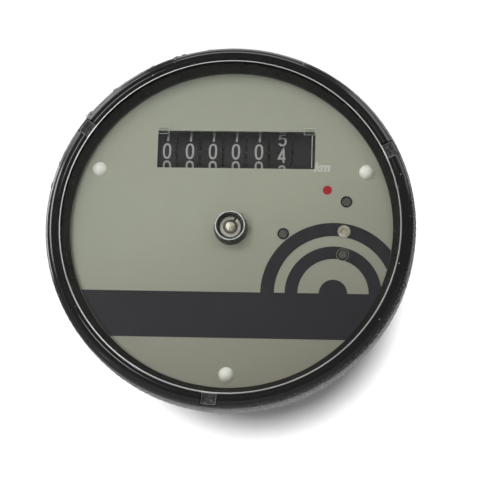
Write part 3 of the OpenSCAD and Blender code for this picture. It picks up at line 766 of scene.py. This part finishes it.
class Draft:
    """A mesh in the making, in the row frame."""

    def __init__(self) -> None:
        """Starts an empty mesh."""
        self.mesh = bmesh.new()

    def strips(self, places: list[Ramp], front: float, thick: float,
               turn: Matrix | None = None) -> None:
        """Adds thin flat strips that face the viewer.

        Args:
            places: The left, right, foot and top of each strip.
            front: Height of their faces above the mounting face.
            thick: Their thickness.
            turn: A turn that moves them last, or None.
        """
        for left, right, foot, top in places:
            middle = Vector(((left + right) / 2, thick / 2 - front, (foot + top) / 2))
            size = (right - left, thick, top - foot, 1.0)
            matrix = Matrix.Translation(middle) @ Matrix.Diagonal(size)
            bmesh.ops.create_cube(self.mesh, size=1.0, matrix=turn @ matrix if turn else matrix)

    def turned(self, profile: list[tuple[float, list[float]]], capped: bool = False) -> None:
        """Adds a skin round the stud's axis.

        Args:
            profile: The y of each ring of corners, with their radii.
            capped: Whether the ends are closed.
        """
        rings = []
        for y, radii in profile:
            turns = [2 * math.pi * k / len(radii) for k in range(len(radii))]
            rings.append([self.mesh.verts.new((r * math.cos(a), y, r * math.sin(a)))
                          for r, a in zip(radii, turns)])
        for lower, upper in zip(rings, rings[1:]):
            for k in range(len(lower)):
                n = (k + 1) % len(lower)
                self.mesh.faces.new((lower[k], lower[n], upper[n], upper[k]))
        if capped:
            self.mesh.faces.new(rings[-1])
            self.mesh.faces.new(rings[0])

    def piece(self, name: str, finish: Finish, body: Body, slot: Slot, smooth: float) -> Object:
        """Turns the draft into an object that rides on a body.

        Args:
            name: The piece's name.
            finish: Its surface.
            body: The body that it moves with.
            slot: Not used.
            smooth: Edges flatter than this many degrees are shaded smooth.

        Returns:
            The new object.
        """
        data = bpy.data.meshes.new(name)
        bmesh.ops.recalc_face_normals(self.mesh, faces=self.mesh.faces[:])
        self.mesh.to_mesh(data)
        self.mesh.free()
        data.shade_smooth()
        data.set_sharp_from_angle(angle=math.radians(smooth))
        obj = placed(name, data)
        data.materials.append(finish.material())
        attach(obj, body.value)
        return obj


def bow(cx: float, cy: float, rx: float, ry: float, start: float, end: float) -> Points:
    """Points of a slightly square arc.

    Args:
        cx: Its middle across.
        cy: Its middle up.
        rx: Its half width.
        ry: Its half height.
        start: Its first angle, in degrees.
        end: Its last angle, in degrees.

    Returns:
        The points, at most 12 degrees apart.
    """
    squareness = 0.8
    steps = max(4, round(abs(end - start) / 12))
    points = []
    for step in range(steps + 1):
        a = math.radians(start + (end - start) * step / steps)
        c, s = math.cos(a), math.sin(a)
        points.append((cx + rx * math.copysign(abs(c) ** squareness, c),
                       cy + ry * math.copysign(abs(s) ** squareness, s)))
    return points


def strokes_of(digit: int) -> list[Points]:
    """Gives the middle lines of one figure's strokes.

    Args:
        digit: The figure, from 0 to 9.

    Returns:
        The points of each stroke, in a box from -1 to 1 both ways.
    """
    upper, lower = 0.5, -0.46
    return [
        [bow(0, 0, 1, 1, 0, 360)],
        [[(-0.5, 0.62), (0.1, 1.0), (0.1, -1.0)]],
        [bow(0, 0.42, 0.95, 0.58, 165, -35) + [(-0.95, -1.0), (1.0, -1.0)]],
        [bow(0, upper, 0.92, 0.5, 160, -90), bow(0, lower, 1.0, 0.54, 90, -160)],
        [[(0.5, -1.0), (0.5, 1.0), (-1.0, -0.42), (1.05, -0.42)]],
        [[(0.85, 1.0), (-0.75, 1.0), (-0.85, 0.1)] + bow(0, -0.36, 1.0, 0.64, 140, -155)],
        [bow(0, -0.36, 1.0, 0.64, 0, 360), bow(0.25, -0.36, 1.25, 1.36, 180, 82)],
        [[(-1.0, 1.0), (1.0, 1.0), (-0.3, -1.0)]],
        [bow(0, upper, 0.85, 0.5, 0, 360), bow(0, lower, 1.0, 0.54, 0, 360)],
        [bow(0, 0.36, 1.0, 0.64, 0, 360), bow(-0.25, 0.36, 1.25, 1.36, 0, -98)],
    ][digit]


@dataclass
class NumberWheels:
    """The pale figures on the six number wheels, wrapped round their rims."""

    figure_w: float = mm(1.95)
    figure_h: float = mm(3.8)
    stroke: float = mm(0.47)
    from_left: float = mm(2.67)
    reading_last: float = 4.2
    digits: int = 10
    lift: float = mm(0.012)
    slices: int = 9
    same_place: float = 1e-6
    bend_least: float = 0.5

    def refined(self, points: Points) -> list[Vector]:
        """Puts more points into a stroke, so that it can follow the rim.

        Args:
            points: The stroke's corners.

        Returns:
            The corners with the points between them.
        """
        fine = [Vector(points[0])]
        for target in points[1:]:
            start, end = fine[-1], Vector(target)
            parts = max(1, math.ceil((end - start).length / (self.figure_h / self.slices)))
            fine += [start.lerp(end, (k + 1) / parts) for k in range(parts)]
        return fine

    def ribbon(self, draft: Draft, points: Points, place: Callable[[Vector], Vector]) -> None:
        """Lays one stroke as a flat ribbon with mitred bends and square ends.

        Args:
            draft: The mesh to add to.
            points: The stroke's middle line, in metres on the unrolled rim.
            place: Turns a point of the unrolled rim into a point in the row frame.
        """
        fine = self.refined(points)
        closed = (fine[0] - fine[-1]).length < self.same_place
        if closed:
            fine.pop()
        edges = []
        for n, point in enumerate(fine):
            before = fine[n - 1] if closed or n else None
            after = fine[(n + 1) % len(fine)] if closed or n < len(fine) - 1 else None
            ways = [(point - before).normalized()] if before else []
            ways += [(after - point).normalized()] if after else []
            way = sum(ways, Vector((0.0, 0.0))).normalized()
            mitre = 1.0 / max(way.dot(ways[0]), self.bend_least)
            side = Vector((-way.y, way.x)) * self.stroke / 2 * mitre
            edges.append((draft.mesh.verts.new(place(point + side)),
                          draft.mesh.verts.new(place(point - side))))
        count = len(edges) if closed else len(edges) - 1
        for n in range(count):
            (a, b), (c, d) = edges[n], edges[(n + 1) % len(edges)]
            draft.mesh.faces.new((a, b, d, c))

    def on_rim(self, middle: Vector, radius: float, turn: float, point: Vector) -> Vector:
        """Finds the place of one point of a figure on a wheel's rim.

        Args:
            middle: The figure's middle, on the wheel's axis.
            radius: The rim's radius.
            turn: The figure's angle round the wheel.
            point: The point, from the figure's middle on the unrolled rim.

        Returns:
            The place in the row frame.
        """
        a = turn - point.y / radius
        return Vector((middle.x + point.x, middle.y - radius * math.sin(a),
                       middle.z + radius * math.cos(a)))

    def figures(self, number: int, body: Body) -> Object:
        """Makes the figures of one wheel.

        Args:
            number: The wheel's number, from the left.
            body: The wheel's body.

        Returns:
            The piece.
        """
        low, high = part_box(f"number_wheel_{number}")
        middle = middle_of("blank_drum")
        middle.x = low.x + self.from_left
        radius = (high.z - low.z) / 2 + self.lift
        reading = self.reading_last if body is Body.WHEEL_6 else 0.0
        half_w, half_h = (self.figure_w - self.stroke) / 2, (self.figure_h - self.stroke) / 2
        draft = Draft()
        for digit in range(self.digits):
            turn = math.radians(90.0 + (reading - digit) * 360.0 / self.digits)
            place = partial(self.on_rim, middle, radius, turn)
            for stroke in strokes_of(digit):
                self.ribbon(draft, [(x * half_w, y * half_h) for x, y in stroke], place)
        return draft.piece(f"wheel_figures_{number}", FIGURE, body, Slot.WHEEL, smooth=80.0)

    def build(self) -> list[Object]:
        """Makes one piece of figures for each wheel."""
        wheels = [body for body in Body if body.name.startswith("WHEEL")]
        return [self.figures(number, body) for number, body in enumerate(wheels, 1)]


@dataclass
class LensEdges:
    """The lens's round, polished edge, coloured pale all the way round as a painted highlight, and
    painted highlight lines on its lugs' edges.
    """

    round_r: float = mm(0.26)
    round_lift: float = mm(0.02)
    round_inset: float = mm(0.8)
    round_start: float = -8.0
    round_turn: float = 104.0
    steps: int = 180
    arc_steps: int = 6
    lug_angles: tuple[float, ...] = (26.3, 146.4, 265.2)
    lug_w: float = mm(3.3)
    lug_h: float = mm(2.4)
    lug_inset: float = mm(0.7)
    lug_drop: float = mm(0.415)
    line_w: float = mm(0.13)
    line_h: float = mm(0.04)

    def lug_lines(self) -> Object:
        """Makes painted highlight lines along the cut edges of the three lugs.

        Returns:
            The piece.
        """
        front = front_of("lens") - self.lug_drop + self.line_h / 2
        inner = radius_of("lens") - self.lug_inset
        outer = inner + self.lug_h
        w, half = self.line_w, self.lug_w / 2
        places = [(inner, outer, -half, w - half), (inner, outer, half - w, half),
                  (outer - w, outer, -half, half)]
        draft = Draft()
        for angle in self.lug_angles:
            draft.strips(places, front, self.line_h, Matrix.Rotation(math.radians(-angle), 4, "Y"))
        return draft.piece("painted_lug_glints", PAINTED_LUG_GLINT, Body.CASE, Slot.CLEAR, smooth=30.0)

    def bead(self) -> Object:
        """Makes the round edge, whose pale colour is a painted highlight.

        Returns:
            The piece.
        """
        top = front_of("lens") - self.round_r
        middle = radius_of("lens") - self.round_inset - self.round_r
        reach = self.round_r + self.round_lift
        profile = []
        for n in range(self.arc_steps + 1):
            a = math.radians(self.round_start + self.round_turn * n / self.arc_steps)
            profile.append((-top - reach * math.sin(a), [middle + reach * math.cos(a)] * self.steps))
        draft = Draft()
        draft.turned(profile)
        return draft.piece("lens_bead_highlight", LENS_EDGE_HIGHLIGHT, Body.CASE, Slot.CLEAR, smooth=60.0)

    def build(self) -> list[Object]:
        """Makes the round edge and the lugs' painted highlight lines."""
        return [self.bead(), self.lug_lines()]


@dataclass
class RimWear:
    """Burrs that knocks have raised on the bezel's edge, and the torn plastic beside one lug."""

    burr_angles: tuple[float, ...] = (98.0, 106.5, 109.0, 117.0, 121.5, 127.0, 131.0, 157.0, 160.5,
                                      168.0, 336.0, 341.0, 345.5)
    burr_size: float = mm(0.17)
    burr_length: float = 3.2
    edge_radius: float = mm(41.78)
    edge_height: float = mm(24.7)
    torn_angle: float = 142.6
    torn_spread: float = 1.1
    torn_parts: int = 9
    torn_size: float = mm(0.34)
    torn_out_mm: Pair = (-0.1, 0.5)
    size_shares: Pair = (0.7, 1.3)
    length_shares: Pair = (0.6, 1.4)
    torn_shares: Pair = (0.5, 1.1)
    torn_lengths: Pair = (1.0, 1.8)
    rise_shares: Pair = (-1.5, 1.5)
    uneven: Pair = (0.65, 1.2)
    chance: Random = field(default_factory=lambda: Random(7))

    def lump(self, draft: Draft, angle: float, radius: float, size: float, length: float) -> None:
        """Adds one uneven lump that lies along the rim.

        Args:
            draft: The mesh to add to.
            angle: Its place round the rim, in degrees.
            radius: Its distance from the stud's axis.
            size: Half its width.
            length: Its length over its width.
        """
        chance = self.chance
        place = Matrix.Rotation(math.radians(-angle), 4, "Y") @ Matrix.Translation(
            (radius, -self.edge_height - size * chance.uniform(*self.rise_shares), 0.0))
        made = bmesh.ops.create_icosphere(draft.mesh, subdivisions=2, radius=size,
                                          matrix=Matrix.Diagonal((1.0, 1.0, length, 1.0)))
        for vert in made["verts"]:
            vert.co = place @ (vert.co * chance.uniform(*self.uneven))

    def build(self) -> list[Object]:
        """Makes the burrs and the torn plastic.

        Returns:
            The two pieces.
        """
        chance = self.chance
        burrs = Draft()
        for angle in self.burr_angles:
            self.lump(burrs, angle, self.edge_radius,
                      self.burr_size * chance.uniform(*self.size_shares),
                      self.burr_length * chance.uniform(*self.length_shares))
        torn = Draft()
        for _part in range(self.torn_parts):
            angle = self.torn_angle + chance.uniform(-self.torn_spread, self.torn_spread)
            self.lump(torn, angle, self.edge_radius + mm(chance.uniform(*self.torn_out_mm)),
                      self.torn_size * chance.uniform(*self.torn_shares),
                      chance.uniform(*self.torn_lengths))
        return [burrs.piece("rim_burrs", BURR, Body.CASE, Slot.BEZEL, smooth=50.0),
                torn.piece("torn_lug_edge", TORN_EDGE, Body.CASE, Slot.CLEAR, smooth=50.0)]


@dataclass
class DialTrim:
    """Small print, and painted highlight lines on the clear window's edges, which lie on the dial."""

    unit: str = "km"
    text_size: float = mm(2.95)
    text_left: float = mm(18.55)
    text_foot: float = mm(13.75)
    slant: float = 0.22
    bolder: float = mm(0.13)
    film: float = mm(0.03)
    tab_w: float = mm(2.6)
    tab_h: float = mm(1.6)
    tab_rise: float = mm(0.3)
    line_w: float = mm(0.11)
    foot_line_w: float = mm(0.088)
    left_glint_w: float = mm(0.066)
    right_glint_w: float = mm(0.132)
    glint_inset: float = mm(0.75)
    glint_foot: float = mm(0.3)
    glint_gap: float = mm(0.1)

    def unit_text(self) -> Object:
        """Prints the unit beside the window.

        Returns:
            The lettering.
        """
        curve = bpy.data.curves.new("unit_outline", "FONT")
        curve.body = self.unit
        curve.size = self.text_size
        curve.shear = self.slant
        curve.offset = self.bolder
        curve.extrude = self.film / 2
        writer = placed("unit_outline", curve)
        flat = bpy.data.meshes.new_from_object(writer)
        bpy.data.objects.remove(writer)
        draft = Draft()
        draft.mesh.from_mesh(flat)
        bpy.data.meshes.remove(flat)
        bpy.data.curves.remove(curve)
        stand = Matrix.Rotation(math.radians(90.0), 4, "X")
        place = Vector((self.text_left, -front_of("dial_plate") - self.film / 2, self.text_foot))
        bmesh.ops.transform(draft.mesh, matrix=Matrix.Translation(place) @ stand,
                            verts=draft.mesh.verts[:])
        return draft.piece("unit_text", PALE_PRINT, Body.PENDULUM, Slot.DIAL, smooth=30.0)

    def window_edge_highlights(self) -> Object:
        """Paints highlight lines round the two tabs of the clear window, and glints at its ends.

        Returns:
            The painted highlight lines.
        """
        low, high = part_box("window_insert")
        face = front_of("dial_plate")
        top, foot, w = high.z, high.z - self.tab_h, self.line_w
        # Painted highlights: pale lines round each clear tab, and pale glints at the window's ends.
        draft = Draft()
        for left in (low.x, high.x - self.tab_w):
            right = left + self.tab_w
            tab = [(left, right, top - w, top), (left, right, foot, foot + self.foot_line_w),
                   (left, left + w, foot, top), (right - w, right, foot, top)]
            draft.strips(tab, face + self.tab_rise + self.film / 2, self.film)
        x = high.x - self.glint_inset
        glints = [(x, x + self.right_glint_w, low.z + self.glint_foot, foot - self.glint_gap),
                  (low.x, low.x + self.left_glint_w, low.z, foot)]
        draft.strips(glints, face + self.film, self.film)
        return draft.piece("window_edge_highlights", PANE_EDGE_HIGHLIGHT, Body.PENDULUM, Slot.CLEAR, smooth=30.0)

    def build(self) -> list[Object]:
        """Makes the lettering and the painted highlight lines."""
        return [self.unit_text(), self.window_edge_highlights()]


@dataclass
class StudThread:
    """The stud with its 5/8 in-18 thread cut in, in place of the plain one."""

    pitch: float = mm(25.4 / 18)
    thread_depth: float = 0.6134
    crest_flat: float = 0.125
    flanks: float = 0.75
    rows_per_turn: int = 8
    steps: int = 72
    relief: float = mm(1.6)
    runout: float = mm(0.9)
    chamfer: float = mm(1.2)
    neck: float = mm(6.04)
    neck_slope: float = mm(1.0)
    bore: float = mm(2.2)
    bore_end: float = mm(3.0)

    def thread_ring(self, y: float, crest: float, end: float) -> list[float]:
        """The radii round the thread at one place along it.

        Args:
            y: The place, from the mounting face.
            crest: The thread's outer radius.
            end: The stud's end.

        Returns:
            One radius for each step.
        """
        limit = crest - max(0.0, y - (end - self.chamfer))
        depth = self.pitch * self.thread_depth * min(1.0, (y - self.relief) / self.runout)
        ring = []
        for step in range(self.steps):
            turn = abs((y / self.pitch - step / self.steps) % 1.0 * 2 - 1)
            cut = min(max((turn - self.crest_flat) / self.flanks, 0.0), 1.0) * depth
            ring.append(min(crest - cut, limit))
        return ring

    def build(self) -> list[Object]:
        """Makes the threaded stud.

        Returns:
            The piece, which replaces the plain stud.
        """
        low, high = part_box("mounting_stud")
        crest, foot, end = radius_of("mounting_stud"), low.y, high.y
        neck = [(self.bore_end, self.bore), (foot, self.bore), (foot, self.neck + self.neck_slope),
                (foot + self.neck_slope, self.neck), (0.0, self.neck), (0.0, crest)]
        rows = round((end - self.relief) / self.pitch * self.rows_per_turn)
        places = [self.relief + (end - self.relief) * row / rows for row in range(rows + 1)]
        draft = Draft()
        draft.turned([(y, [r] * self.steps) for y, r in neck]
                     + [(y, self.thread_ring(y, crest, end)) for y in places], True)
        stud = draft.piece("threaded_stud", STUD, Body.CASE, Slot.STUD, smooth=30.0)
        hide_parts("mounting_stud")
        return [stud]


@dataclass(frozen=True)
class Paper(Finish):
    """Matt paper. Its glow is extra brightness for the eye and for mirrors."""

    specular: float = 0.1
    mottle: float = 0.02
    mottle_scale: float = 90.0
    gloss_change: float = 0.0
    grain: float = 0.0
    glow: float = 0.0

    def detail(self, nodes: SurfaceMaker) -> None:
        """Adds the glow.

        Args:
            nodes: The material in the making.
        """
        if self.glow:
            seen = nodes.any_ray("Camera", "Glossy", "Transmission")
            nodes.feed(Emission_Color=WHITE, Emission_Strength=nodes.times(seen, self.glow))


@dataclass(frozen=True)
class PaperSheet:
    """One flat sheet of paper, which lies or hangs upright."""

    name: str
    size: Pair
    place: RGB
    upright: bool
    paper: Paper

    def lay(self) -> Object:
        """Lays or hangs the sheet.

        Returns:
            The sheet.
        """
        data = bpy.data.meshes.new(self.name)
        w, h = self.size[0] / 2, self.size[1] / 2
        corners = [(-w, -h), (w, -h), (w, h), (-w, h)]
        data.from_pydata([(x, 0.0, y) if self.upright else (x, y, 0.0) for x, y in corners], [],
                         [(0, 1, 2, 3)])
        obj = placed(self.name, data)
        obj.location = self.place
        data.materials.append(self.paper.material())
        return obj


@dataclass(frozen=True)
class SoftLamp:
    """One area lamp, which points at the part."""

    name: str
    place: RGB
    size: Pair
    power: float
    shape: str = "RECTANGLE"

    def hang(self, view: Matrix | None = None) -> Object:
        """Adds the lamp.

        Args:
            view: None, or the view in which the place is measured and along which the lamp points.

        Returns:
            The lamp.
        """
        data = bpy.data.lights.new(self.name, "AREA")
        data.shape = self.shape
        data.size, data.size_y = self.size
        data.energy = self.power
        lamp = placed(self.name, data)
        aim = (-Vector(self.place)).to_track_quat("-Z", "Y").to_matrix().to_4x4()
        lamp.matrix_world = (view @ Matrix.Translation(self.place) if view
                             else Matrix.Translation(self.place) @ aim)
        return lamp


@dataclass
class Viewpoint:
    """The camera at the place where the photograph was taken from. Angles are in degrees."""

    azimuth: float = 4.0
    elevation: float = -13.0
    distance: float = 0.40
    lens_mm: float = 126.5
    roll: float = 1.75
    aim_right: float = mm(3.46)
    aim_down: float = mm(4.89)

    def build(self) -> Object:
        """Puts the camera there.

        Returns:
            The camera.
        """
        dial = Vector((0.0, -front_of("dial_plate"), 0.0))
        az, el = math.radians(self.azimuth), math.radians(self.elevation)
        towards = Vector((math.sin(az) * math.cos(el), -math.cos(az) * math.cos(el), math.sin(el)))
        turn = (-towards).to_track_quat("-Z", "Y").to_matrix()
        turn = turn @ Matrix.Rotation(math.radians(self.roll), 3, "Z")
        right, up = turn.col[0], turn.col[1]
        place = dial + towards * self.distance + right * self.aim_right - up * self.aim_down
        data = bpy.data.cameras.new("camera")
        data.lens = self.lens_mm
        camera = placed("camera", data)
        camera.matrix_world = Matrix.Translation(place) @ turn.to_4x4()
        bpy.context.scene.camera = camera
        return camera


@dataclass
class Studio:
    """The floor, the backdrop, the world and the lamps."""

    floor: PaperSheet = PaperSheet("floor", (30.0, 30.0), (0.0, 0.0, -0.46), False,
                                   Paper("floor_paper", (0.5, 0.5, 0.5), 0.9, glow=0.20))
    backdrop: PaperSheet = PaperSheet("backdrop", (3.0, 1.7), (0.0, 0.62, 0.39), True,
                                      Paper("backdrop_paper", (0.15, 0.15, 0.15), 0.9))
    shadow_lamp: SoftLamp = SoftLamp("shadow_lamp", (mm(-13.3), mm(36.2), 0.27), (mm(24), mm(24)),
                                     120.0, "DISK")
    room_colour: RGB = (0.8, 0.8, 0.8)
    room_way: RGB = (-0.35, -0.40, 0.85)
    room_ramp: Ramp = (-0.9, 0.9, 0.156, 0.884)
    mirrored_way: RGB = (0.0, 1.0, 0.0)
    mirrored_ramp: Ramp = (-0.35, 0.3, 0.28, 1.0)
    lamps: tuple[SoftLamp, ...] = (
        SoftLamp("key_lamp", (-0.20, -0.35, 0.23), (0.20, 0.20), 0.95),
        SoftLamp("fill_lamp", (0.18, -0.35, 0.25), (0.20, 0.20), 0.36),
        SoftLamp("front_lamp", (-0.16, -0.37, -0.06), (0.12, 0.12), 0.47))
    panels: dict[str, Pair] = field(default_factory=lambda: {
        "right": (12.0, 0.5), "upper_right": (44.0, 0.7), "top": (92.0, 0.65),
        "upper_left": (134.0, 0.7), "left": (168.0, 2.1)})
    panel_ring: float = 0.46
    panel_size: Pair = (0.30, 0.28)

    def sheets(self, camera: Object) -> None:
        """Lays the floor, and hangs a backdrop with a small lamp that only casts the part's shadow.

        Args:
            camera: The camera, whose view the lamp's place is measured in.
        """
        self.floor.lay()
        only = bpy.data.collections.new("backdrop_only")
        only.objects.link(self.backdrop.lay())
        lamp = self.shadow_lamp.hang(camera.matrix_world)
        lamp.light_linking.receiver_collection = only

    def world(self) -> None:
        """White behind the part; for the light, a soft room that is dim where the viewer stands."""
        world = bpy.data.worlds.new("studio")
        bpy.context.scene.world = world
        world.use_nodes = True
        world.node_tree.nodes.clear()
        nodes = NodeMaker(world.node_tree, "Generated")
        room = nodes.spread(nodes.along(self.room_way), *self.room_ramp)
        mirrored = nodes.spread(nodes.along(self.mirrored_way), *self.mirrored_ramp)
        room, mirrored, white = (
            nodes.add("Background", {"Color": colour, "Strength": strength}).outputs[0]
            for colour, strength in ((self.room_colour, room), (WHITE, mirrored), (WHITE, 1.0)))
        soft = nodes.add("MixShader", {0: nodes.any_ray("Glossy"), 1: room, 2: mirrored}).outputs[0]
        seen = nodes.any_ray("Camera", "Transmission")
        mix = nodes.add("MixShader", {0: seen, 1: soft, 2: white}).outputs[0]
        nodes.add("OutputWorld", {"Surface": mix})

    def light(self) -> None:
        """Hangs three soft lamps round the viewer, and panels beside and above that edges mirror."""
        for lamp in self.lamps:
            lamp.hang()
        for side, (degrees, power) in self.panels.items():
            turn = math.radians(degrees)
            place = (self.panel_ring * math.cos(turn), 0.0, self.panel_ring * math.sin(turn))
            SoftLamp(f"{side}_panel", place, self.panel_size, power).hang()

    def build(self) -> None:
        """Sets the whole studio up round the camera."""
        self.sheets(Viewpoint().build())
        self.world()
        self.light()


def main() -> None:
    """Builds and dresses each sub-assembly in order, and reports each piece."""
    logging.basicConfig(level=logging.INFO, format="%(name)s: %(message)s")
    assemblies = (CarriedNodes(), NumberWheels(), DialTrim(), LensEdges(), RimWear(), StudThread())
    for assembly in assemblies:
        for piece in assembly.build():
            LOG.info("%s: %d faces, %s", piece.name, len(piece.data.polygons),
                     piece.data.materials[0].name)
    Studio().build()
    bpy.context.scene.view_settings.view_transform = "Standard"


if __name__ == "__main__":
    main()
